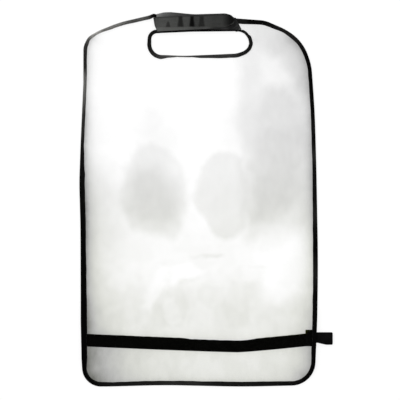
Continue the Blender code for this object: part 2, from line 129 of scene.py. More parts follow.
FLAP_LENGTH = 0.14
FLAP_WIDTH = 0.0248
FLAP_TILT = 0.04
FLAP_HOLLOW = 0.0022
FLAP_END_RADIUS = 0.012
FLAP_LEFT = -0.0775
FLAP_DROP = 0.0174
FLAP_STEP = 0.005
FLAP_DROOP = 0.0006
BASE_LENGTH = 0.1435
BASE_WIDTH = 0.0246
BASE_SLANT = 0.01
BASE_PEEK = 0.001
BASE_TILT = 0.023
LOOP_LENGTH = 0.1475
LOOP_WIDTH = 0.0262
LOOP_PEEK = 0.0076
LOOP_OVERHANG = 0.0033
LOOP_RIM = 0.0021
LOOP_BULGE_AT = 0.025
LOOP_TAIL = 0.026
CREASE_FIRST = -0.033
CREASE_PITCH = 0.0188
CREASE_COUNT = 3
CREASE_RISE = 0.0011
CREASE_WIDTH = 0.0042

# Soft rises of the film: middle, reach across and along, and height.
SWELLS = (
    (-0.078, 0.02, 0.06, 0.085, 0.0042),
    (0.038, 0.018, 0.042, 0.062, 0.003),
    (0.132, 0.085, 0.046, 0.118, 0.004),
    (0.05, -0.29, 0.09, 0.022, 0.0012),
)
FLAT_X = 0.0
FLAT_Y = -0.125
FLAT_LENGTH = 0.15
FLAT_HEIGHT = 0.09
FLAT_FADE = 0.045

CAD_STATION = 0.015
REST = TAPE + GAP
BOUND_TOP = FILM + GAP + TAPE
HEM_Y = -HALF_HEIGHT
STRAP_Y = HEM_Y + STRAP_RISE
PLATEAU = (PATCH_WIDTH + 2 * PATCH_RISE) / 2 + CAD_STATION
STRAP_FADE = 0.048
ANCHOR_RUN = 0.045
LIFT_UNDER_FILM = ELASTIC + GAP - REST + 0.0002
LIFT_AT_ANCHOR = ELASTIC + GAP
LIFT_AT_TAB = ELASTIC + HOOK_TAPE + LOOP_TAPE + 3 * GAP
LOOP_LEFT = FLAP_LEFT + FLAP_STEP

# The solids' frame is the middle of the whole footprint, tab included.
SHIFT_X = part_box("side_tab")[1][0] - (HALF_WIDTH + TAB_REACH)
SHIFT_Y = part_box("side_tab")[1][1] - (STRAP_Y + TAB_RISE + TAB_WIDTH / 2)

# How close the points of an outline and of a sheet are.
EDGE_CELL = 0.0026
SLOT_CELL = 0.002
FILM_EDGE_CELL = 0.006
FILM_SLOT_CELL = 0.004
FILM_CELL = 0.0042
ELASTIC_STEPS = 260

# Close lines beside the strap: their ends, in from the film's sides, and offsets.
TINT_LINE_LEFT = 0.0155
TINT_LINE_RIGHT = 0.0125
TINT_LINE_STEPS = 90
TINT_LINE_OFFSETS = (-0.0006, -0.0001, 0.0001, 0.0006)

# Stitches, and how the tape waves and puckers along its seam.
STITCH_INSET = 0.0013
STITCH_LENGTH = 0.0026
STITCH_RADIUS = 0.00022
STITCH_SIDES = 6
EDGE_PITCH = 0.0034
SLOT_PITCH = 0.0032
WAVE = 0.00045
WAVE_RATE = 55.0
PUCKER = 0.00012
PUCKER_RATE = 210.0
TAPE_RIM = 0.0002

# The photograph: metres to a pixel, and the pixel on the film's middle.
PHOTO_PX = 400
PIXEL = 0.00175
MIDDLE_PX = 199.0
MIDDLE_PY = 200.5

FLOOR_REACH = 6.0
FLOOR_DROP = 0.0002
FLOOR_SHADE = 0.93
FLOOR_GLOW = 0.8
SKY_FADE = (0.55, 0.96, 1.0, 0.02)
LENS = 85.0
SENSOR = 36.0
CAMERA_LIFT = 0.002
# Soft boxes: name, place, width, height and power.
LIGHTS = (
    ("left_box", (-2.2, 0.5, 1.7), 1.8, 1.8, 46.0),
    ("right_box", (2.3, -0.2, 1.6), 1.6, 1.6, 30.0),
    ("rear_box", (0.2, 2.6, 1.5), 2.2, 1.2, 26.0),
)


def ease(start, end, value):
    t = min(1.0, max(0.0, (value - start) / (end - start)))
    return t * t * (3.0 - 2.0 * t)


def lerp(a, b, t):
    return a + (b - a) * t


# ---- how the film lies ----

def strap_line(x):
    low = -HALF_WIDTH + STRAP_SAG_AT
    reach = low + HALF_WIDTH if x < low else HALF_WIDTH + TAB_REACH - TAB_LENGTH - low
    away = min(1.0, abs(x - low) / reach)
    return STRAP_Y - STRAP_SAG * (1.0 - away ** SAG_POWER)


def strap_lift(x, y):
    across = 1.0 - ease(PLATEAU, PLATEAU + STRAP_FADE, abs(y - strap_line(x)))
    inner_tab = HALF_WIDTH + TAB_REACH - TAB_LENGTH
    start = LEG_ANCHOR + CAD_STATION
    anchor = 1.0 - ease(start, start + ANCHOR_RUN, x + HALF_WIDTH)
    tab = ease(inner_tab - CAD_STATION - ANCHOR_RUN, inner_tab - CAD_STATION, x)
    along = LIFT_UNDER_FILM
    along += (LIFT_AT_ANCHOR - LIFT_UNDER_FILM) * anchor
    along += (LIFT_AT_TAB - LIFT_UNDER_FILM) * tab
    return across * along


def swell(x, y):
    outside = max(abs(x - FLAT_X) - FLAT_LENGTH / 2, abs(y - FLAT_Y) - FLAT_HEIGHT / 2)
    total = 0.0
    for cx, cy, rx, ry, rise in SWELLS:
        total += rise * math.exp(-((x - cx) / rx) ** 2 - ((y - cy) / ry) ** 2)
    return total * ease(0.0, FLAT_FADE, outside)


def lay(x, y):
    return REST + swell(x, y) + strap_lift(x, y)


# ---- plan outlines ----

def fillet(before, corner, after, radius, step):
    here = Vector(corner)
    back = Vector(before) - here
    ahead = Vector(after) - here
    turn = math.pi - back.angle(ahead)
    if radius <= 0.0 or turn < 1e-4:
        return [here]
    reach = radius * math.tan(turn / 2)
    limit = 0.72 * min(back.length, ahead.length)
    if reach > limit:
        reach = limit
        radius = reach / math.tan(turn / 2)
    start = here + back.normalized() * reach
    inward = (back.normalized() + ahead.normalized()).normalized()
    centre = here + inward * (radius / math.cos(turn / 2))
    side = 1.0 if back.x * ahead.y - back.y * ahead.x < 0.0 else -1.0
    steps = max(3, math.ceil(turn * radius / step))
    arm = start - centre
    points = []
    for i in range(steps + 1):
        angle = side * turn * i / steps
        cos_a = math.cos(angle)
        sin_a = math.sin(angle)
        turned = Vector((arm.x * cos_a - arm.y * sin_a, arm.x * sin_a + arm.y * cos_a))
        points.append(centre + turned)
    return points


def rounded(corners, cell, closed):
    count = len(corners)
    marks = []
    for i, (x, y, radius, leg) in enumerate(corners):
        if not closed and i in (0, count - 1):
            marks.append((Vector((x, y)), leg))
            continue
        arc = fillet(corners[i - 1][:2], (x, y), corners[(i + 1) % count][:2], radius, cell)
        marks.extend((point, leg) for point in arc)
    stations = []
    total = len(marks)
    for i in range(total if closed else total - 1):
        a, leg_a = marks[i]
        b, leg_b = marks[(i + 1) % total]
        pieces = max(1, round((b - a).length / cell))
        for k in range(pieces):
            t = k / pieces
            stations.append((a.lerp(b, t), lerp(leg_a, leg_b, t)))
    if not closed:
        stations.append(marks[-1])
    return stations


def plan_loop(corners, cell):
    return [p for p, _ in rounded([(x, y, r, 0.0) for x, y, r in corners], cell, True)]


def edge_path(cell):
    left = -HALF_WIDTH
    right = HALF_WIDTH
    left_x = left + LEFT_SHOULDER_INSET
    right_x = right - RIGHT_SHOULDER_INSET
    head = HALF_HEIGHT
    left_y = head - LEFT_SHOULDER_DROP
    right_y = head - RIGHT_SHOULDER_DROP
    leg = LEG_RIGHT_UPPER
    # Offsets follow the photograph closer than the solid, by 3 mm at the right shoulder.
    return rounded([
        (BOUND_TO_LEFT, head - 0.0003, 0.0, LEG_ARM),
        (BOUND_TO_LEFT - 0.0065, head + 0.0011, 0.004, LEG_ARM + 0.0004),
        (BOUND_TO_LEFT - 0.0145, head - 0.0022, 0.014, LEG_ARM + 0.0007),
        (left_x + LEFT_SLOPE_REACH, head - LEFT_SLOPE_DROP - 0.0005, 0.2, LEG_SLOPE + 0.002),
        (left_x + 0.42 * LEFT_SLOPE_REACH, head - 0.0287, 0.1, LEG_SLOPE + 0.0006),
        (left_x + 0.0079, left_y + 0.0014, 0.02, LEG_SHOULDER),
        (left_x - 0.0003, left_y - 0.0145, 0.03, LEG_SHOULDER + 0.001),
        (left_x - 0.0004, left_y - 0.08, 0.0, LEG_UPPER + 0.0006),
        (left - 0.0001, left_y - 0.1821, 1.0, LEG_UPPER + 0.0006),
        (left - 0.0019, left_y - 0.232, 0.0, LEG_LEFT - 0.0008),
        (left - LEFT_BULGE, HEM_Y + LEFT_BULGE_HEIGHT, 1.2, LEG_LEFT),
        (left - LEFT_WAIST_BULGE, HEM_Y + LEFT_WAIST_HEIGHT, 1.5, LEG_LEFT),
        (left, STRAP_Y + PLATEAU, 0.0, LEG_ANCHOR),
        (left + LEFT_ANCHOR_INSET, STRAP_Y - PLATEAU, 0.0, LEG_ANCHOR - 0.0012),
        (left + LEFT_FOOT_INSET + 0.0006, HEM_Y, 0.032, LEG_LEFT - 0.0014),
        (left + 0.054, HEM_Y + 0.0004, 0.0, LEG_HEM - 0.0004),
        (left + HEM_RISE_AT, HEM_Y + HEM_RISE, 1.5, LEG_HEM),
        (left + HEM_DIP_AT, HEM_Y, 1.5, LEG_RIGHT - 0.0008),
        (right - RIGHT_FOOT_INSET - 0.0009, HEM_Y + HEM_END_RISE + 0.001, 0.041,
         LEG_RIGHT - 0.0014),
        (right + RIGHT_BULGE + 0.0007, HEM_Y + RIGHT_BULGE_HEIGHT, 3.0, LEG_RIGHT - 0.0006),
        (right - RIGHT_WAIST_INSET + 0.0003, HEM_Y + RIGHT_WAIST_HEIGHT, 3.0, leg - 0.0006),
        (right - 0.0043, right_y - 0.1599, 1.5, leg - 0.0007),
        (right_x + 0.0013, right_y - 0.0781, 0.1, leg - 0.0007),
        (right_x - 0.0139, right_y - 0.0349, 0.1, leg - 0.0006),
        (right_x - 0.0468, right_y - 0.0147, 0.1, leg - 0.001),
        (right_x - 0.0791, right_y - 0.0007, 0.05, leg + 0.0002),
        (BOUND_TO_RIGHT, right_y + 0.0035, 0.0, LEG_RIGHT),
    ], cell, False)


def slot_path(cell):
    left = SLOT_SHIFT - SLOT_WIDTH / 2
    right = SLOT_SHIFT + SLOT_WIDTH / 2
    top = HALF_HEIGHT - SLOT_DROP
    foot = top - SLOT_HEIGHT
    leg = LEG_SLOT_END
    # The ends are a little rounder and the tape a little thinner than the solid's.
    return rounded([
        (SLOT_BOUND_TO_RIGHT, top + SLOT_TOP_SLOPE + 0.0004, 0.0, LEG_SLOT_THIN),
        (right - 0.0192, top + SLOT_TOP_SLOPE + 0.0016, 0.02, LEG_SLOT_THIN),
        (right - 0.0074, top - 0.0002, 0.016, leg - 0.0026),
        (right - 0.0008, top - 0.0106, 0.016, leg - 0.001),
        (right + 0.0009, top - 0.0189, 0.008, leg - 0.0008),
        (right - 0.002, top - 0.0272, 0.012, leg - 0.0008),
        (right - 0.0095, foot + 0.0082, 0.016, leg - 0.0006),
        (right - 0.0226, foot + 0.004, 0.03, leg - 0.0002),
        (right - 0.0548, foot + 0.0025, 0.0, leg - 0.0008),
        (right - 0.086, foot + 0.0012, 0.0, LEG_SLOT_THIN + 0.002),
        (left + SLOT_LOW_AT, foot, 0.3, LEG_SLOT_THIN - 0.0002),
        (left + 0.04, foot + 0.0008, 0.0, LEG_SLOT_THIN + 0.0006),
        (left + 0.0285, foot + 0.0013, 0.0, LEG_SLOT_FOOT - 0.0026),
        (left, foot + SLOT_FOOT_RISE_LEFT + 0.0003, 0.0195, LEG_SLOT_FOOT + 0.0001),
        (left, top, 0.019, leg - 0.0007),
        (SLOT_BOUND_TO_LEFT, top, 0.0, leg),
    ], cell, False)


def inward_frames(path):
    frames = []
    last = len(path) - 1
    run = 0.0
    for i, (point, leg) in enumerate(path):
        ahead = path[min(i + 1, last)][0]
        back = path[max(i - 1, 0)][0]
        along = (ahead - back).normalized()
        if i:
            run += (point - path[i - 1][0]).length
        frames.append((point, Vector((-along.y, along.x)), leg, run))
    return frames


def inside(point, loop):
    hit = False
    for i, a in enumerate(loop):
        b = loop[i - 1]
        if (a.y > point.y) != (b.y > point.y):
            if point.x < a.x + (point.y - a.y) * (b.x - a.x) / (b.y - a.y):
                hit = not hit
    return hit


def spread(loop, fixed, cell):
    low_x = min(p.x for p in loop)
    low_y = min(p.y for p in loop)
    columns = round((max(p.x for p in loop) - low_x) / cell)
    rows = round((max(p.y for p in loop) - low_y) / (cell * 0.87))
    taken = {}
    for p in fixed:
        taken.setdefault((math.floor(p.x / cell), math.floor(p.y / cell)), []).append(p)
    points = []
    for row in range(rows + 1):
        for column in range(columns + 1):
            point = Vector((low_x + (column + 0.5 * (row % 2)) * cell, low_y + row * cell * 0.87))
            i = math.floor(point.x / cell)
            j = math.floor(point.y / cell)
            near = [q for a in (-1, 0, 1) for b in (-1, 0, 1)
                    for q in taken.get((i + a, j + b), ())]
            if near and min((point - q).length for q in near) < 0.6 * cell:
                continue
            if inside(point, loop):
                points.append(point)
    return points


# ---- mesh helpers ----

def finish_mesh(name, bm, surface, smooth_degrees, replaced):
    bmesh.ops.recalc_face_normals(bm, faces=bm.faces)
    mesh = bpy.data.meshes.new(name)
    bm.to_mesh(mesh)
    bm.free()
    mesh.shade_smooth()
    mesh.set_sharp_from_angle(angle=math.radians(smooth_degrees))
    mesh.materials.append(surface)
    piece = bpy.data.objects.new(name, mesh)
    bpy.context.scene.collection.objects.link(piece)
    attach(piece, "root")
    if replaced:
        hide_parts(*replaced)
    return piece


def placed(x, y, z):
    return (x + SHIFT_X, y + SHIFT_Y, z)


def hold(piece, name, values):
    """Keep one value for each vertex, for the material to read."""
    layer = piece.data.attributes.new(name, "FLOAT", "POINT")
    for item, value in zip(layer.data, values):
        item.value = value


def plan_point(vert):
    return vert.co.x - SHIFT_X, vert.co.y - SHIFT_Y


def sheet(name, loop, height, thickness, surface, node, cell, rim=0.0, seams=(), held=None):
    """Cut sheet laid to height(x, y), thickened, with its UVs in metres."""
    points = list(loop)
    edges = []
    for seam in seams:
        start = len(points)
        points.extend(seam)
        edges.extend((start + i, start + i + 1) for i in range(len(seam) - 1))
    points.extend(spread(loop, points, cell))
    verts, _, faces, _, _, _ = delaunay_2d_cdt(points, edges, [list(range(len(loop)))], 1, 1e-7)
    bm = bmesh.new()
    lower = [bm.verts.new(placed(v.x, v.y, height(v.x, v.y))) for v in verts]
    for face in faces:
        bm.faces.new([lower[i] for i in face])
    bmesh.ops.delete(bm, geom=[v for v in bm.verts if not v.link_faces], context="VERTS")
    raised = bmesh.ops.extrude_face_region(bm, geom=list(bm.faces), use_keep_orig=True)
    upper = [item for item in raised["geom"] if isinstance(item, bmesh.types.BMVert)]
    bmesh.ops.translate(bm, verts=upper, vec=(0.0, 0.0, thickness))
    layer = bm.loops.layers.uv.new("cut")
    for face in bm.faces:
        for corner in face.loops:
            corner[layer].uv = plan_point(corner.vert)
    piece = finish_mesh(name, bm, surface, 40.0, [node])
    if held:
        key, function = held
        hold(piece, key, [function(*plan_point(v)) for v in piece.data.vertices])
    if rim:
        soften_rim(piece, rim)
    return piece


def soften_rim(piece, width):
    """Round the cut rim of a thick web."""
    bevel = piece.modifiers.new("rim", "BEVEL")
    bevel.width = width
    bevel.segments = 2
    bevel.limit_method = "ANGLE"
    bevel.angle_limit = math.radians(50.0)


def skin(bm, rings, layer=None):
    """Faces between the rings and over both ends; a corner is (vert, u, v)."""
    size = len(rings[0])
    for first, second in zip(rings, rings[1:]):
        for k in range(size):
            j = (k + 1) % size
            corners = (first[k], first[j], second[j], second[k])
            face = bm.faces.new([c[0] for c in corners])
            if layer is None:
                continue
            for loop, (_, u, v) in zip(face.loops, corners):
                loop[layer].uv = (u, v)
    bm.faces.new([c[0] for c in rings[0]])
    bm.faces.new([c[0] for c in reversed(rings[-1])])


# ---- node helpers ----

class Graph:
    """Small helper that builds the nodes of one material or world."""

    def __init__(self, name, kind="materials"):
        self.owner = getattr(bpy.data, kind).new(name)
        self.owner.use_nodes = True
        self.tree = self.owner.node_tree
        self.shader = self.tree.nodes.get("Principled BSDF")

    def feed(self, target, value):
        if isinstance(value, bpy.types.NodeSocket):
            self.tree.links.new(value, target)
        else:
            target.default_value = value

    def node(self, kind, inputs=None, **settings):
        """New node; each input is given a value or another node's output."""
        made = self.tree.nodes.new(kind)
        for key, value in settings.items():
            setattr(made, key, value)
        for key, value in (inputs or {}).items():
            self.feed(made.inputs[key], value)
        return made

    def shade(self, name, value):
        self.feed(self.shader.inputs[name], value)

    def gloss(self, roughness, specular):
        self.shade("Roughness", roughness)
        self.shade("Specular IOR Level", specular)

    def math(self, operation, a, b=0.0, clamp=False):
        made = self.node("ShaderNodeMath", {0: a, 1: b}, operation=operation, use_clamp=clamp)
        return made.outputs[0]

    def times(self, a, b):
        return self.math("MULTIPLY", a, b)

    def wave(self, value, length):
        return self.math("SINE", self.times(value, 2 * math.pi / length))

    def vector(self, operation, a, b):
        made = self.node("ShaderNodeVectorMath", {0: a, 1: b}, operation=operation)
        return made.outputs["Vector"]

    def ramp(self, value, low, high, start=0.0, end=1.0, smooth=True):
        inputs = {"Value": value, "From Min": low, "From Max": high,
                  "To Min": start, "To Max": end}
        kind = "SMOOTHSTEP" if smooth else "LINEAR"
        return self.node("ShaderNodeMapRange", inputs, interpolation_type=kind).outputs["Result"]

    def noise(self, coords, scale, detail=2.0, roughness=0.5):
        inputs = {"Vector": coords, "Scale": scale, "Detail": detail, "Roughness": roughness}
        return self.node("ShaderNodeTexNoise", inputs).outputs["Fac"]

    def blend(self, share, a, b):
        """Base colour between a and b."""
        inputs = {"Factor": share, "A": (*a, 1.0), "B": (*b, 1.0)}
        made = self.node("ShaderNodeMix", inputs, data_type="RGBA")
        self.shade("Base Color", made.outputs["Result"])

    def tinted(self, grey, tint):
        """Base colour of a grey level times a tint."""
        level = self.vector("ADD", (0.0, 0.0, 0.0), grey)
        self.shade("Base Color", self.vector("MULTIPLY", level, tint))

    def held(self, name):
        """Value that hold() has kept for each vertex."""
        return self.node("ShaderNodeAttribute", attribute_name=name).outputs["Fac"]

    def object_coords(self):
        return self.node("ShaderNodeTexCoord").outputs["Object"]

    def uv(self):
        return self.node("ShaderNodeUVMap", uv_map="cut").outputs["UV"]

    def split(self, coords):
        return self.node("ShaderNodeSeparateXYZ", {0: coords}).outputs

    def bump(self, height, distance, strength):
        inputs = {"Distance": distance, "Strength": strength, "Height": height}
        self.shade("Normal", self.node("ShaderNodeBump", inputs).outputs["Normal"])


def spot(px, py):
    """Point of the film, in the object's frame, that the photograph shows at a pixel."""
    return ((px - MIDDLE_PX) * PIXEL + SHIFT_X, (MIDDLE_PY - py) * PIXEL + SHIFT_Y)


# ---- materials ----

# Height on the photograph, then how dark the painted shade on the film is at the binding and how
# much of that lingers further in, for its left side and for its right side.
LEFT_PAINTED_SHADE = (
    (60, 0.34, 0.0), (92, 0.24, 0.0), (122, 0.52, 0.02), (150, 0.44, 0.08), (175, 0.28, 0.26),
    (205, 0.42, 0.31), (245, 0.34, 0.33), (275, 0.26, 0.31), (300, 0.26, 0.35),
    (326, 0.32, 0.46), (350, 0.0, 0.72), (372, 0.0, 0.74),
)
RIGHT_PAINTED_SHADE = (
    (44, 0.3, 0.14), (75, 0.33, 0.14), (110, 0.36, 0.03), (175, 0.46, 0.03), (255, 0.28, 0.04),
    (300, 0.13, 0.11), (328, 0.26, 0.18), (352, 0.26, 0.2), (372, 0.26, 0.2),
)
# How squarely the edge faces inward where it counts as the left, right or lower side.
SIDE_SHARE = 0.6
# How fast its painted shade fades inward, in pixels; low down the left side's reaches further.
LEFT_FADE = 4.6
LEFT_LINGER = (18.0, 29.0)
LEFT_WIDENS = (326.0, 350.0)
LEFT_MOST = 0.92
RIGHT_FADE = 7.0
RIGHT_LINGER = 20.0
RIGHT_MOST = 0.9
# The same for the painted shade at the lower binding, from the rows given, and for the strap's
# painted shadow beside the strap.
FOOT_PAINTED_SHADE = 0.17
FOOT_FADE = 4.0
FOOT_BEGINS = (335.0, 352.0)
STRAP_PAINTED_SHADOW = 0.1
STRAP_SHADOW_FADE = 3.5
# Painted shade over the film's body, and the rows between which it gets darker, with how much.
BODY_PAINTED_SHADE = 0.006
BODY_RISES = (
    (222.0, 236.0, 0.022), (262.0, 318.0, 0.098), (340.0, 366.0, 0.022), (160.0, 190.0, 0.018),
)
# Size in pixels and strength of the noise that frays the outlines below, and of clouds of painted
# shade.
WIDE_NOISE = 15.0
WIDE_SHIFT = 3.4
FINE_NOISE = 5.0
FINE_SHIFT = 1.3
CLOUD = 24.0
CLOUDLET = 9.0
CLOUD_DEPTH = 0.014
CLOUD_DEEPENS = 0.016
CLOUD_ROWS = (225.0, 300.0)
TINT_ROWS = (110.0, 290.0)
# Softness of the rim in pixels, depth, and the soft outline of each patch of painted shade; a
# negative depth paints a lighter patch, a painted highlight.
SHADES = (
    (10.0, 0.075, ((133, 152), (150, 142), (167, 150), (178, 163), (187, 181), (189, 204),
        (184, 221), (177, 236), (164, 236), (147, 235), (131, 228), (123, 210),
        (119, 192), (124, 168))),
    (26.0, 0.15, ((137, 164), (157, 167), (172, 182), (180, 203), (178, 223), (165, 228),
        (140, 225), (127, 208), (129, 182))),
    (24.0, 0.05, ((146, 108), (164, 112), (176, 140), (168, 160), (140, 156), (136, 128))),
    (8.0, 0.105, ((203, 165), (213, 154), (230, 152), (243, 158), (248, 181), (248, 208),
        (244, 227), (236, 238), (216, 238), (207, 226), (202, 215), (194, 201),
        (198, 181))),
    (26.0, 0.05, ((226, 108), (252, 104), (258, 150), (240, 158), (222, 146))),
    (13.0, 0.085, ((270, 86), (283, 83), (297, 106), (301, 138), (301, 195), (287, 216),
        (273, 224), (251, 224), (250, 195), (250, 168), (256, 148), (255, 118),
        (262, 98))),
    (14.0, 0.045, ((267, 130), (289, 130), (296, 168), (287, 203), (255, 217), (253, 190),
        (264, 168))),
    (18.0, 0.115, ((238, 20), (330, 20), (330, 224), (285, 228), (246, 240), (244, 215),
        (244, 158), (240, 130), (238, 91), (240, 58))),
    (14.0, -0.06, ((261, 56), (280, 58), (294, 80), (278, 88), (260, 78))),
    (12.0, 0.045, ((246, 20), (283, 28), (305, 56), (314, 95), (299, 92), (281, 60), (252, 42))),
    (26.0, 0.055, ((100, 182), (124, 190), (126, 232), (108, 244), (96, 214))),
    (7.0, -0.045, ((160, 268), (187, 264), (205, 270), (182, 282), (162, 292), (150, 316),
        (144, 308), (149, 287))),
    (18.0, -0.07, ((257, 254), (297, 240), (308, 261), (301, 291), (277, 306), (260, 295),
        (267, 271))),
    (4.0, 0.032, ((163, 285), (181, 285), (188, 308), (181, 325), (158, 330), (149, 318),
        (158, 298))),
    (3.0, -0.03, ((166, 300), (174, 299), (181, 320), (172, 326), (163, 316))),
    (4.0, 0.028, ((203, 285), (223, 288), (227, 305), (213, 309), (196, 298))),
    (5.0, 0.03, ((232, 280), (252, 284), (250, 322), (228, 330), (222, 306))),
    (3.5, 0.11, ((199, 256), (209, 253.5), (219, 254), (225, 257), (213, 256.5))),
    (4.0, 0.045, ((188, 258), (197, 256.5), (206, 257.5), (196, 260))),
    (3.5, 0.04, ((248, 266.5), (270, 267), (290, 265), (290, 267), (268, 268.5))),
    (3.0, 0.035, ((178, 283), (190, 279), (203, 276), (192, 282), (180, 286))),
)


# Position on the photograph and how light the tape is there, partly painted
# highlights and partly faded tape: down the left side, down the right side,
# along the foot, along the top and under the slot.
LEFT_TONE = (
    (40, 0.012), (47, 0.018), (56, 0.012), (68, 0.015), (75, 0.075), (82, 0.108), (93, 0.085),
    (105, 0.048), (116, 0.017), (130, 0.017), (142, 0.008), (156, 0.0036), (212, 0.0012),
    (245, 0.0004), (380, 0.0003),
)
RIGHT_TONE = (
    (40, 0.005), (52, 0.0006), (110, 0.001), (128, 0.005), (140, 0.0012), (155, 0.011),
    (168, 0.0034), (200, 0.003), (214, 0.008), (236, 0.0014), (250, 0.0003), (272, 0.008),
    (292, 0.0014), (380, 0.0003),
)
FOOT_TONE = (
    (88, 0.0016), (112, 0.0048), (142, 0.0068), (162, 0.0105), (182, 0.014), (202, 0.0135),
    (214, 0.007), (252, 0.0056), (280, 0.0038), (306, 0.002),
)
TOP_TONE = (
    (84, 0.05), (89, 0.26), (97, 0.29), (104, 0.15), (112, 0.14), (120, 0.125), (127, 0.07),
    (134, 0.05), (141, 0.076), (147, 0.07), (151, 0.001), (244, 0.006), (250, 0.0008),
    (264, 0.0012), (276, 0.005), (298, 0.01), (308, 0.002),
)
SLOT_TONE = (
    (150, 0.011), (158, 0.023), (167, 0.042), (175, 0.07), (185, 0.074), (192, 0.038),
    (200, 0.023), (228, 0.025), (240, 0.01), (250, 0.006),
)
SLOT_REST_TONE = 0.006
# Tone along the flap, with painted shade where its round end turns away from the light.
FLAP_TONE = (
    (153, 0.026), (156, 0.048), (160, 0.056), (176, 0.047), (187, 0.046), (195, 0.032),
    (207, 0.037), (213, 0.031), (222, 0.031), (226, 0.016), (230, 0.005), (242, 0.004),
)
# Tone along the loop patch: lightest where it peeks out at the left, with painted shade beside
# the flap's round end.
LOOP_TONE = (
    (152, 0.15), (158, 0.145), (164, 0.092), (171, 0.062), (180, 0.043), (190, 0.036),
    (225, 0.031), (230, 0.01), (234, 0.012), (237, 0.02), (240, 0.04), (244, 0.048),
)
# A fold's painted shade: the rows between which it darkens and those between which it
# widens, then its width's share at the top and how much that grows.
LOW_FOLD = ((20.5, 24.0), (20.5, 27.0), 0.4, 0.6)
HIGH_FOLD = ((15.6, 18.0), (19.0, 26.0), 0.75, 0.35)
# Middle of each fold in the flap, its width and how much painted shade darkens it.
FOLDS = (
    (168.2, 3.0, 0.6, LOW_FOLD), (180.6, 3.9, 0.72, HIGH_FOLD),
    (192.0, 3.5, 0.93, HIGH_FOLD), (201.6, 3.9, 0.6, HIGH_FOLD),
)
# The flap's lower hem, with a painted highlight as far as the columns given and painted shade
# after them.
HEM_PX = 157.0
HEM_PY = 28.6
HEM_SLOPE = 0.012
HEM_HIGHLIGHT = 0.38
HEM_SHADE = 0.45
HEM_TURNS = (206.0, 216.0)
# Painted shadow along the flap's top edge, ending between the columns given.
TOP_SHADOW = 0.38
TOP_ENDS = (222.0, 228.0)
# The painted highlight on the rim of its round end, as an ellipse.
RIM_PX = 224.0
RIM_PY = 18.2
RIM_ACROSS = 11.9
RIM_DOWN = 9.0
RIM_SHARE = 0.98
RIM_HIGHLIGHT = 0.028
RIM_COLUMNS = (222.0, 227.0)
RIM_ROWS = (19.0, 21.5)
# Column where the loop patch's tail starts, and where the strap's top edge dips.
TAIL_PX = 233.0
DIP = 0.0017
DIP_STARTS = (181.0, 193.0)
DIP_ENDS = (247.0, 259.0)
DIP_WAVE = 0.00035
DIP_WAVE_PX = 6.0


def profile(table, y):
    if y <= table[0][0]:
        return table[0][1:]
    for first, second in zip(table, table[1:]):
        if y <= second[0]:
            t = (y - first[0]) / (second[0] - first[0])
            return [lerp(a, b, t) for a, b in zip(first[1:], second[1:])]
    return table[-1][1:]


def shade_share(x, y, outline, soft):
    """1 well inside a closed outline, falling smoothly to 0 outside it."""
    nearest = 1e9
    within = False
    ax, ay = outline[-1]
    for bx, by in outline:
        dx = bx - ax
        dy = by - ay
        t = min(1.0, max(0.0, ((x - ax) * dx + (y - ay) * dy) / (dx * dx + dy * dy)))
        nearest = min(nearest, math.hypot(x - ax - t * dx, y - ay - t * dy))
        if (ay > y) != (by > y) and x < ax + (y - ay) * dx / dy:
            within = not within
        ax, ay = bx, by
    return ease(-0.5 * soft, 0.5 * soft, nearest if within else -nearest)


def painted_shade(x, y, left, right, bottom, strap):
    """Share of the light the film holds back, as painted shade at the bindings, in soft patches
    and as the strap's painted shadow; all distances are in pixels.
    """
    near, far = profile(LEFT_PAINTED_SHADE, y)
    reach = lerp(*LEFT_LINGER, ease(*LEFT_WIDENS, y))
    at_left = near * math.exp(-left / LEFT_FADE) + far * math.exp(-left / reach)
    near, far = profile(RIGHT_PAINTED_SHADE, y)
    at_right = near * math.exp(-right / RIGHT_FADE) + far * math.exp(-right / RIGHT_LINGER)
    at_bottom = FOOT_PAINTED_SHADE * math.exp(-bottom / FOOT_FADE) * ease(*FOOT_BEGINS, y)
    body = BODY_PAINTED_SHADE
    for soft, depth, outline in SHADES:
        body += depth * shade_share(x, y, outline, soft)
    for start, end, rise in BODY_RISES:
        body += rise * ease(start, end, y)
    over = STRAP_PAINTED_SHADOW * math.exp(-max(0.0, strap) / STRAP_SHADOW_FADE)
    rest = (1.0 - min(LEFT_MOST, at_left)) * (1.0 - min(RIGHT_MOST, at_right))
    rest *= 1.0 - at_bottom
    return 1.0 - rest * (1.0 - max(0.0, body)) * (1.0 - over)


def pixel(x, y):
    """Pixel that a point of the film, about its own middle, has on the photograph."""
    return x / PIXEL + MIDDLE_PX, MIDDLE_PY - y / PIXEL


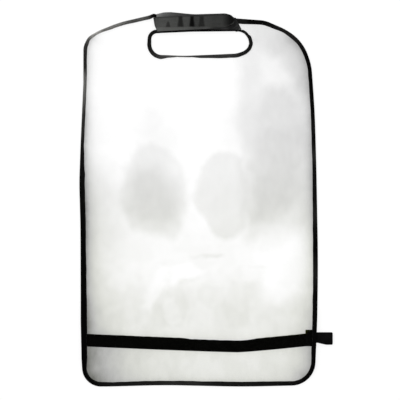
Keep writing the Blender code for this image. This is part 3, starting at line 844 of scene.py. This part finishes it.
def film_painted_shade(edge):
    """Painted shade of the film at x, y, for the bound edge given."""
    sides = ([], [], [])
    for point, inward, leg, _ in edge:
        for side, facing in zip(sides, (inward.x, -inward.x, inward.y)):
            if facing > SIDE_SHARE:
                side.append(point + inward * leg)
                break
    trees = [KDTree(len(points)) for points in sides]
    for tree, points in zip(trees, sides):
        for i, point in enumerate(points):
            tree.insert((point.x, point.y, 0.0), i)
        tree.balance()

    def at(x, y):
        px, py = pixel(x, y)
        away = [tree.find((x, y, 0.0))[2] / PIXEL for tree in trees]
        over = (abs(y - strap_line(x)) - STRAP_WIDTH / 2) / PIXEL
        wide = Vector((px / WIDE_NOISE, py / WIDE_NOISE, 0.4))
        fine = Vector((px / FINE_NOISE, py / FINE_NOISE, 2.7))
        other = Vector((9.0, 0.0, 0.0))
        px += WIDE_SHIFT * noise.noise(wide) + FINE_SHIFT * noise.noise(fine)
        py += WIDE_SHIFT * noise.noise(wide + other) + FINE_SHIFT * noise.noise(fine + other)
        cloud = noise.noise(Vector((px / CLOUD, py / CLOUD, 5.0)))
        cloud += 0.5 * noise.noise(Vector((px / CLOUDLET, py / CLOUDLET, 8.0)))
        depth = CLOUD_DEPTH + CLOUD_DEEPENS * ease(*CLOUD_ROWS, py)
        share = painted_shade(px, py, *away, over)
        return share + depth * ease(-0.35, 0.35, cloud) - depth / 2

    return at


def film_tint(x, y):
    """How yellow the film's painted shade is: most low down, none where the strap is behind it.
    """
    _, py = pixel(x, y)
    if abs(y - strap_line(x)) < STRAP_WIDTH / 2:
        return 0.0
    end = HALF_WIDTH + TAB_REACH - TAB_LENGTH
    patch = abs(y - STRAP_Y - PATCH_RISE) - PATCH_WIDTH / 2
    return ease(-0.001, 0.001, max(patch, end - x)) * ease(*TINT_ROWS, py)


def film_material():
    """Clear film: its painted shade, given as alpha and a dark colour, is held by the mesh; fine
    streaks and gloss come from nodes.
    """
    graph = Graph("clear_film")
    coords = graph.object_coords()
    grain = graph.noise(graph.vector("MULTIPLY", coords, (1.0, 0.5, 1.0)), 90.0, 3.0, 0.6)
    total = graph.times(graph.held("painted_shade"), graph.ramp(grain, 0.25, 0.75, 0.93, 1.07, False))
    olive = graph.times(graph.held("tint"), graph.ramp(total, 0.18, 0.5, 1.0, 0.15))
    total = graph.times(total, graph.math("ADD", graph.times(olive, 0.165), 1.0))
    total = graph.math("MINIMUM", graph.math("MAXIMUM", total, 0.004), 0.96)
    # Light goes through the film's two faces, so each holds back the root's share.
    clear = graph.math("SQRT", graph.math("SUBTRACT", 1.0, total))
    graph.shade("Alpha", graph.math("SUBTRACT", 1.0, clear))
    graph.blend(olive, (0.0016, 0.0016, 0.0012), (0.118, 0.142, 0.003))
    graph.gloss(graph.ramp(graph.noise(coords, 60.0, 3.0), 0.3, 0.7, 0.12, 0.22), 0.32)
    graph.shade("IOR", 1.5)
    graph.bump(graph.noise(coords, 34.0, 2.0), 0.0009, 0.35)
    return graph.owner


def woven(name, colour, light, roughness, rib, toned=False):
    """Woven tape: ribs across its length with crests painted lighter, worn lighter in places;
    toned tape adds the mesh's tone with its painted highlights.
    """
    graph = Graph(name)
    coords = graph.object_coords()
    u, v, _ = graph.split(graph.uv())
    across = graph.wave(u, rib)
    along = graph.wave(v, 0.8 * rib)
    weave = graph.math("ADD", across, graph.times(along, across))
    wear = graph.noise(coords, 45.0, 4.0, 0.6)
    fibre = graph.noise(coords, 2600.0, 2.0)
    lit = graph.ramp(across, -1.0, 1.0, 0.0, 0.25)
    if toned:
        change = graph.math("ADD", graph.ramp(wear, 0.3, 0.7, 0.72, 1.22, False), lit)
        graph.tinted(graph.times(graph.held("tone"), change), light)
    else:
        share = graph.math("ADD", graph.ramp(wear, 0.42, 0.78, 0.0, 1.0), lit, True)
        graph.blend(share, colour, light)
    rough = graph.ramp(fibre, 0.3, 0.7, roughness - 0.08, roughness + 0.08)
    graph.gloss(rough, 0.015)
    graph.bump(graph.math("ADD", weave, graph.times(fibre, 0.8)), 0.00012, 0.6)
    return graph.owner


def pile(name, tint, scale, depth):
    """Looped or brushed pile: tangled grain and soft streaks over the tone the mesh holds, with
    its painted shade and highlights.
    """
    graph = Graph(name)
    coords = graph.object_coords()
    grain = graph.noise(coords, scale, 4.0, 0.65)
    streak = graph.noise(graph.vector("MULTIPLY", coords, (1.0, 3.5, 1.0)), 70.0, 3.0)
    change = graph.times(graph.ramp(grain, 0.3, 0.72, 0.7, 1.3, False),
                         graph.ramp(streak, 0.2, 0.8, 0.88, 1.12, False))
    graph.tinted(graph.times(graph.held("tone"), change), tint)
    graph.gloss(0.92, 0.02)
    graph.bump(grain, depth, 0.8)
    return graph.owner


def hooks(name, colour):
    """Moulded hook tape: rows of small hooks."""
    graph = Graph(name)
    x, y, _ = graph.split(graph.object_coords())
    field = graph.times(graph.wave(x, 0.0013), graph.wave(y, 0.0011))
    # Raised hook tops are painted lighter, a painted highlight.
    graph.blend(graph.ramp(field, -1.0, 1.0, 0.0, 1.0), colour, [2.2 * c for c in colour])
    graph.gloss(graph.ramp(field, -1.0, 1.0, 0.75, 0.55), 0.04)
    graph.bump(field, 0.0003, 0.7)
    return graph.owner


def twisted(name, colour):
    """Thread: fine twist and fuzz."""
    graph = Graph(name)
    twist = graph.noise(graph.object_coords(), 3200.0, 2.0)
    graph.blend(twist, colour, [1.8 * c for c in colour])
    graph.gloss(0.6, 0.1)
    graph.bump(twist, 0.00005, 0.5)
    return graph.owner


BINDING = woven("binding_tape", None, (1.0, 0.985, 0.94), 0.62, 0.0011, toned=True)
ELASTIC_WEB = woven("ribbed_elastic", (0.001, 0.001, 0.0007), (0.0024, 0.0024, 0.002), 0.8,
                    0.0016)
TAB_WEB = woven("tab_web", (0.0018,) * 3, (0.004,) * 3, 0.8, 0.0012)
BACK_WEB = woven("back_web", (0.0014,) * 3, (0.0036,) * 3, 0.8, 0.0012)
FLAP_PILE = pile("flap_pile", (0.98, 1.0, 0.96), 900.0, 0.00018)
LOOP_PILE = pile("loop_pile", (0.99, 1.0, 0.99), 1100.0, 0.00025)
HOOK_FACE = hooks("hook_face", (0.001,) * 3)
THREAD = twisted("thread", (0.0045, 0.0045, 0.0042))


# ---- pieces ----

# Tone of the binding from the lists above, partly painted highlights and partly faded tape.
def edge_tone(point, inward):
    px, py = pixel(point.x, point.y)
    sides = ((inward.x, LEFT_TONE, py), (-inward.x, RIGHT_TONE, py),
             (inward.y, FOOT_TONE, px), (-inward.y, TOP_TONE, px))
    return sum(max(0.0, facing) ** 2 * profile(table, at)[0] for facing, table, at in sides)


def slot_tone(point, inward):
    px, _ = pixel(point.x, point.y)
    below = max(0.0, -inward.y) ** 2
    return below * profile(SLOT_TONE, px)[0] + (1.0 - below) * SLOT_REST_TONE


def folded_tape(name, frames, node, tone):
    """Bound edge: tape folded over both faces, a little puckered along its seam."""
    bm = bmesh.new()
    layer = bm.loops.layers.uv.new("cut")
    middle = FILM / 2
    outer = middle + GAP + TAPE
    inner = middle + GAP
    rings = []
    tones = []
    for point, inward, leg, run in frames:
        wave = noise.noise(Vector((run * WAVE_RATE, 3.1, 0.7)))
        pucker = noise.noise(Vector((run * PUCKER_RATE, 9.4, 2.2)))
        reach = leg + WAVE * wave + PUCKER * pucker
        seam = point + inward * (leg + SEAM_MARGIN)
        at_edge = lay(point.x, point.y)
        at_seam = lay(seam.x, seam.y)
        section = [(reach - TAPE_RIM, middle - inner), (reach, middle - inner - 0.5 * TAPE),
                   (reach - TAPE_RIM, middle - outer), (0.5 * reach, middle - outer)]
        for i in range(9):
            angle = math.radians(-90.0 + 22.5 * i)
            section.append((-BEND_OUTER * math.cos(angle), middle + outer * math.sin(angle)))
        crown = 0.00012 + 0.0001 * pucker
        section.extend([
            (0.35 * reach, middle + outer + crown),
            (0.7 * reach, middle + outer + 0.4 * crown),
            (reach - STITCH_INSET, middle + outer - 0.00016),
            (reach - 0.0007, middle + outer + 0.00005),
            (reach - TAPE_RIM, middle + outer),
            (reach, middle + inner + 0.5 * TAPE),
            (reach - TAPE_RIM, middle + inner),
        ])
        for degrees in (90, 30, -30, -90):
            angle = math.radians(degrees)
            section.append((-BEND_CLEARANCE * math.cos(angle), middle + inner * math.sin(angle)))
        ring = []
        for depth, rise in section:
            plan = point + inward * depth
            share = max(0.0, depth) / (leg + SEAM_MARGIN)
            z = lerp(at_edge, at_seam, share) + rise
            ring.append((bm.verts.new(placed(plan.x, plan.y, z)), run, depth))
        rings.append(ring)
        tones.extend([tone(point, inward)] * len(ring))
    skin(bm, rings, layer)
    tape = finish_mesh(name, bm, BINDING, 60.0, [node])
    hold(tape, "tone", tones)


def stitch_row(name, marks):
    """Row of short thread runs: marks are (x, y, z, direction) at each stitch."""
    bm = bmesh.new()
    for x, y, z, direction in marks:
        angle = math.atan2(direction.y, direction.x)
        rings = []
        for share, plump in ((-0.5, 0.15), (-0.38, 0.85), (0.0, 1.0), (0.38, 0.85), (0.5, 0.15)):
            ring = []
            along = share * STITCH_LENGTH
            for k in range(STITCH_SIDES):
                turn = 2 * math.pi * k / STITCH_SIDES
                side = STITCH_RADIUS * plump * math.cos(turn)
                up = STITCH_RADIUS * (plump * math.sin(turn) * 0.8 - (1.0 - plump) * 0.6)
                px = x + math.cos(angle) * along - math.sin(angle) * side
                py = y + math.sin(angle) * along + math.cos(angle) * side
                ring.append((bm.verts.new(placed(px, py, z + up)), along, side))
            rings.append(ring)
        skin(bm, rings)
    finish_mesh(name, bm, THREAD, 60.0, [])


def binding_stitches(name, frames, pitch):
    marks = []
    due = pitch
    for i in range(1, len(frames)):
        point, inward, leg, run = frames[i]
        if run < due:
            continue
        due += pitch
        place = point + inward * max(0.0008, leg - STITCH_INSET)
        seam = point + inward * (leg + SEAM_MARGIN)
        share = (leg - STITCH_INSET) / (leg + SEAM_MARGIN)
        z = lerp(lay(point.x, point.y), lay(seam.x, seam.y), share) + BOUND_TOP + 0.00002
        marks.append((place.x, place.y, z, Vector((inward.y, -inward.x))))
    stitch_row(name, marks)


def build_film(edge, slot):
    top = HALF_HEIGHT - SLOT_DROP
    right_arm = [
        (RIGHT_ARM_END, HALF_HEIGHT - RIGHT_SHOULDER_DROP - ARM_NOTCH),
        (RIGHT_ARM_END, top + ARM_NOTCH / 2),
    ]
    left_arm = [
        (LEFT_ARM_END, top + ARM_NOTCH / 2),
        (LEFT_ARM_END, HALF_HEIGHT - ARM_NOTCH - FLAP_DROP / 2),
        (BOUND_TO_LEFT + ARM_NOTCH / 2, HALF_HEIGHT - ARM_NOTCH),
    ]
    loop = [f[0] for f in edge] + [Vector(p) for p in right_arm]
    loop += [f[0] for f in slot] + [Vector(p) for p in left_arm]
    seams = [[p + n * (leg + SEAM_MARGIN) for p, n, leg, _ in f] for f in (edge, slot)]
    # Close lines beside the strap let the tint stop at its edges.
    start = -HALF_WIDTH + TINT_LINE_LEFT
    end = HALF_WIDTH - TINT_LINE_RIGHT
    xs = [lerp(start, end, i / TINT_LINE_STEPS) for i in range(TINT_LINE_STEPS + 1)]
    for offset in TINT_LINE_OFFSETS:
        for side in (-1.0, 1.0):
            away = side * STRAP_WIDTH / 2 + offset
            seams.append([Vector((x, strap_line(x) + away)) for x in xs])
    film = sheet("film_sheet", loop, lay, FILM, film_material(), "clear_panel", FILM_CELL,
                 seams=seams, held=("painted_shade", film_painted_shade(edge)))
    hold(film, "tint", [film_tint(*plan_point(v)) for v in film.data.vertices])


def flap_line(x):
    return HALF_HEIGHT - FLAP_DROP + FLAP_TILT * (x - FLAP_LEFT)


def base_height(x, y):
    return lay(x, y) + BOUND_TOP + GAP


def loop_height(x, y):
    return base_height(x, y) + BASE_WEB + GAP


def flap_height(x, y):
    stack = BASE_WEB + LOOP_TAPE + HOOK_TAPE + 3 * GAP
    rise = ease(FLAP_LEFT, LOOP_LEFT - 0.0013, x)
    end = FLAP_LEFT + FLAP_LENGTH
    droop = FLAP_DROOP * ease(end - FLAP_END_RADIUS, end, x)
    ridges = 0.0
    for i in range(CREASE_COUNT):
        away = (x - CREASE_FIRST - i * CREASE_PITCH) / CREASE_WIDTH
        ridges += CREASE_RISE * math.exp(-away * away)
    return base_height(x, y) + stack * rise - droop + ridges


def flap_tone(x, y):
    """Charcoal with painted shade in the folds, along the top edge, at the round end and on the
    hem's far part, and painted highlights on the rest of the hem and on the round end's rim.
    """
    px, py = pixel(x, y)
    tone = profile(FLAP_TONE, px)[0]
    foot = HEM_PY - HEM_SLOPE * (px - HEM_PX)
    for middle, width, dark, (darkens, widens, narrow, growth) in FOLDS:
        width *= narrow + growth * ease(*widens, py)
        near = 1.0 - ease(0.35, 1.0, abs(px - middle) / width)
        tone *= 1.0 - dark * ease(*darkens, py) * near * ease(0.4, 1.6, foot - py)
    turned = ease(*HEM_TURNS, px)
    tone *= 1.0 + HEM_HIGHLIGHT * ease(-0.9, -0.3, py - foot) * (1.0 - turned)
    tone *= 1.0 - HEM_SHADE * ease(-0.9, 0.6, py - foot) * turned
    top = MIDDLE_PY - (flap_line(x) + FLAP_WIDTH / 2) / PIXEL
    tone *= 1.0 - TOP_SHADOW * (1.0 - ease(0.3, 1.9, py - top)) * (1.0 - ease(*TOP_ENDS, px))
    rim = math.hypot((px - RIM_PX) / RIM_ACROSS, (py - RIM_PY) / RIM_DOWN)
    light = RIM_HIGHLIGHT * (1.0 - ease(0.0, 0.1, abs(rim - RIM_SHARE)))
    return tone + light * ease(*RIM_COLUMNS, px) * ease(*RIM_ROWS, py)


def loop_tone(x, y):
    px, py = pixel(x, y)
    tone = profile(LOOP_TONE, px)[0]
    if px > TAIL_PX:
        streak = noise.noise(Vector(((px + py) / 1.7, (px - py) / 7.0, 3.0)))
        tone *= 0.6 + 0.9 * ease(-0.2, 0.5, streak)
    return tone


def build_closure():
    """Flap, base strap and loop patch; small offsets follow the photograph."""
    half = FLAP_WIDTH / 2
    right = FLAP_LEFT + FLAP_LENGTH
    end = flap_line(right)
    flap_loop = plan_loop([
        (FLAP_LEFT + FLAP_HOLLOW * 2, flap_line(FLAP_LEFT) - half, 0.001),
        (right - 2 * FLAP_END_RADIUS, end - half, 2 * FLAP_END_RADIUS),
        (right, end - half / 3, FLAP_END_RADIUS / 2),
        (right - FLAP_HOLLOW, end + half, FLAP_END_RADIUS),
        (FLAP_LEFT - 0.0026, flap_line(FLAP_LEFT) + half, 0.001),
        (FLAP_LEFT - 0.0002, flap_line(FLAP_LEFT) - 0.0018, FLAP_END_RADIUS),
    ], 0.0018)
    sheet("flap", flap_loop, flap_height, FLAP_WEB, FLAP_PILE, "closure_flap",
          cell=0.0012, rim=0.00032, held=("tone", flap_tone))

    base_left = LOOP_LEFT + LOOP_OVERHANG
    base_right = base_left + BASE_LENGTH
    left_foot = HALF_HEIGHT - SLOT_DROP - BASE_PEEK
    right_foot = left_foot + BASE_TILT * BASE_LENGTH
    base_loop = plan_loop([
        (base_left, left_foot, 0.001),
        (lerp(base_left, base_right, 0.4), lerp(left_foot, right_foot, 0.75), 0.1),
        (base_right, right_foot, 0.001),
        (base_right - BASE_SLANT, right_foot + BASE_WIDTH - BASE_PEEK, 0.001),
        (base_left, left_foot + BASE_WIDTH, 0.001),
    ], 0.004)
    sheet("base_strap", base_loop, base_height, BASE_WEB, BACK_WEB, "closure_base_strap",
          cell=0.005, rim=0.00028)

    loop_right = LOOP_LEFT + LOOP_LENGTH
    bulge_x = LOOP_LEFT + LOOP_BULGE_AT
    tail_x = loop_right - LOOP_TAIL
    mid_x = lerp(bulge_x, tail_x, 0.4)
    loop_foot = flap_line(LOOP_LEFT) + half + LOOP_PEEK - LOOP_WIDTH
    pile_loop = plan_loop([
        (LOOP_LEFT - 0.0016, loop_foot, 0.001),
        (loop_right, right_foot + 2 * BASE_PEEK, 0.001),
        (loop_right - BASE_SLANT, right_foot + BASE_WIDTH - 3 * BASE_PEEK, 0.001),
        (tail_x, flap_line(tail_x) + half + LOOP_RIM, 0.02),
        (mid_x, flap_line(mid_x) + half + LOOP_RIM + 0.0005, 0.1),
        (bulge_x - 0.0015, flap_line(bulge_x) + half + LOOP_PEEK + 0.0004, 0.03),
        (bulge_x - 0.0135, flap_line(bulge_x) + half + LOOP_PEEK + 0.0001, 0.03),
        (LOOP_LEFT - 0.0016, flap_line(LOOP_LEFT) + half + LOOP_PEEK - 0.002, 0.001),
    ], 0.003)
    sheet("loop_patch", pile_loop, loop_height, LOOP_TAPE, LOOP_PILE, "closure_loop_patch",
          cell=0.0016, rim=0.00026, held=("tone", loop_tone))


def build_elastic():
    """Lower elastic: a swept flat section with round edges and shallow ribs."""
    start = -HALF_WIDTH + STRAP_END_SET
    end = HALF_WIDTH + TAB_REACH - TAB_LENGTH + PATCH_LENGTH
    half = STRAP_WIDTH / 2
    section = []
    for k in range(13):
        v = -1.0 + 2.0 * k / 12
        edge = 1.0 - abs(v) ** 8
        section.append((v * half, ELASTIC * (0.5 + 0.5 * edge) - (0.00006 if k % 2 else 0.0)))
    section += [(-v, ELASTIC * 0.5 - (z - ELASTIC * 0.5)) for v, z in section]
    bm = bmesh.new()
    layer = bm.loops.layers.uv.new("cut")
    rings = []
    for i in range(ELASTIC_STEPS + 1):
        x = lerp(start, end, i / ELASTIC_STEPS)
        px, _ = pixel(x, 0.0)
        dip = DIP * (ease(*DIP_STARTS, px) - ease(*DIP_ENDS, px))
        dip += DIP_WAVE * noise.noise(Vector((px / DIP_WAVE_PX, 1.7, 0.0)))
        ring = []
        for v, z in section:
            across = strap_line(x) + v - dip * ease(-half, half, v)
            ring.append((bm.verts.new(placed(x, across, max(0.0, z))), x, v))
        rings.append(ring)
    skin(bm, rings, layer)
    finish_mesh("elastic", bm, ELASTIC_WEB, 50.0, ["lower_strap"])


def patch_height(_x, _y):
    return ELASTIC + GAP


def tab_height(_x, _y):
    return ELASTIC + HOOK_TAPE + 2 * GAP


def build_strap_end():
    tab_right = HALF_WIDTH + TAB_REACH
    tab_left = tab_right - TAB_LENGTH
    middle = STRAP_Y + TAB_RISE
    patch_middle = STRAP_Y + PATCH_RISE
    patch_left = tab_left - GAP
    patch_right = patch_left + PATCH_LENGTH
    patch_loop = plan_loop([
        (patch_left, patch_middle - PATCH_WIDTH / 2, TAB_CORNER / 2),
        (patch_right, patch_middle - PATCH_WIDTH / 2, TAB_CORNER),
        (patch_right, patch_middle + PATCH_WIDTH / 2, TAB_CORNER),
        (patch_left, patch_middle + PATCH_WIDTH / 2, TAB_CORNER / 2),
    ], 0.003)
    tab_foot = middle - TAB_WIDTH / 2
    tab_loop = plan_loop([
        (tab_left, tab_foot + TAB_WAIST, 0.0),
        (patch_right + TAB_CORNER, tab_foot + TAB_WAIST, TAB_CORNER),
        (patch_right + TAB_FLARE, tab_foot, TAB_CORNER),
        (tab_right, tab_foot, TAB_CORNER),
        (tab_right, tab_foot + TAB_WIDTH, TAB_CORNER),
        (tab_left, tab_foot + TAB_WIDTH, 0.0),
    ], 0.002)
    sheet("strap_end_patch", patch_loop, patch_height, HOOK_TAPE, HOOK_FACE, "strap_hook_patch",
          cell=0.004, rim=0.0002)
    sheet("loop_tab", tab_loop, tab_height, LOOP_TAPE, TAB_WEB, "side_tab",
          cell=0.003, rim=0.00025)


def build_stage():
    floor_mesh = bpy.data.meshes.new("floor")
    sides = ((-1, -1), (1, -1), (1, 1), (-1, 1))
    corners = [(FLOOR_REACH * a, FLOOR_REACH * b, 0.0) for a, b in sides]
    floor_mesh.from_pydata(corners, [], [(0, 1, 2, 3)])
    floor = bpy.data.objects.new("floor", floor_mesh)
    floor.location.z = -FLOOR_DROP
    bpy.context.scene.collection.objects.link(floor)
    graph = Graph("pale_floor")
    graph.shade("Base Color", (FLOOR_SHADE, FLOOR_SHADE, FLOOR_SHADE, 1.0))
    graph.gloss(0.9, 0.0)
    white = graph.node("ShaderNodeEmission", {"Strength": 1.0}).outputs[0]
    path = graph.node("ShaderNodeLightPath").outputs
    seen = graph.math("MAXIMUM", path["Is Camera Ray"], path["Is Glossy Ray"])
    seen = graph.math("MAXIMUM", seen, path["Is Transmission Ray"])
    parts = {0: graph.times(seen, FLOOR_GLOW), 1: graph.shader.outputs[0], 2: white}
    mixed = graph.node("ShaderNodeMixShader", parts).outputs[0]
    graph.feed(graph.tree.nodes["Material Output"].inputs["Surface"], mixed)
    floor_mesh.materials.append(graph.owner)

    sky = Graph("studio", "worlds")
    bpy.context.scene.world = sky.owner
    coords = sky.node("ShaderNodeTexCoord").outputs["Generated"]
    background = sky.tree.nodes["Background"]
    sky.feed(background.inputs["Strength"], sky.ramp(sky.split(coords)[2], *SKY_FADE))
    sky.feed(background.inputs["Color"], (1.0, 1.0, 1.0, 1.0))


def build_lights():
    """Soft boxes, each aimed at the middle of the footprint."""
    for name, place, width, height, power in LIGHTS:
        data = bpy.data.lights.new(name, "AREA")
        data.shape = "RECTANGLE"
        data.size = width
        data.size_y = height
        data.energy = power
        lamp = bpy.data.objects.new(name, data)
        lamp.location = place
        lamp.rotation_euler = (-Vector(place)).to_track_quat("-Z", "Y").to_euler()
        bpy.context.scene.collection.objects.link(lamp)


def build_camera():
    data = bpy.data.cameras.new("camera")
    data.type = "PERSP"
    data.sensor_width = SENSOR
    data.lens = LENS
    camera = bpy.data.objects.new("camera", data)
    across = PHOTO_PX * PIXEL
    x, y = spot(PHOTO_PX / 2, PHOTO_PX / 2)
    camera.location = (x, y, across * LENS / SENSOR + CAMERA_LIFT)
    camera.rotation_euler = (0.0, 0.0, 0.0)
    bpy.context.scene.collection.objects.link(camera)
    bpy.context.scene.camera = camera


def main():
    edge = inward_frames(edge_path(EDGE_CELL))
    slot = inward_frames(slot_path(SLOT_CELL))
    film_edge = inward_frames(edge_path(FILM_EDGE_CELL))
    film_slot = inward_frames(slot_path(FILM_SLOT_CELL))
    build_film(film_edge, film_slot)
    folded_tape("bound_edge", edge, "edge_binding", edge_tone)
    folded_tape("bound_slot", slot, "slot_binding", slot_tone)
    binding_stitches("edge_stitches", edge, EDGE_PITCH)
    binding_stitches("slot_stitches", slot, SLOT_PITCH)
    build_closure()
    build_elastic()
    build_strap_end()
    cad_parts["closure_hook_patch"].data.materials[0] = HOOK_FACE
    build_stage()
    build_lights()
    build_camera()
    bpy.context.scene.view_settings.view_transform = "Standard"


main()
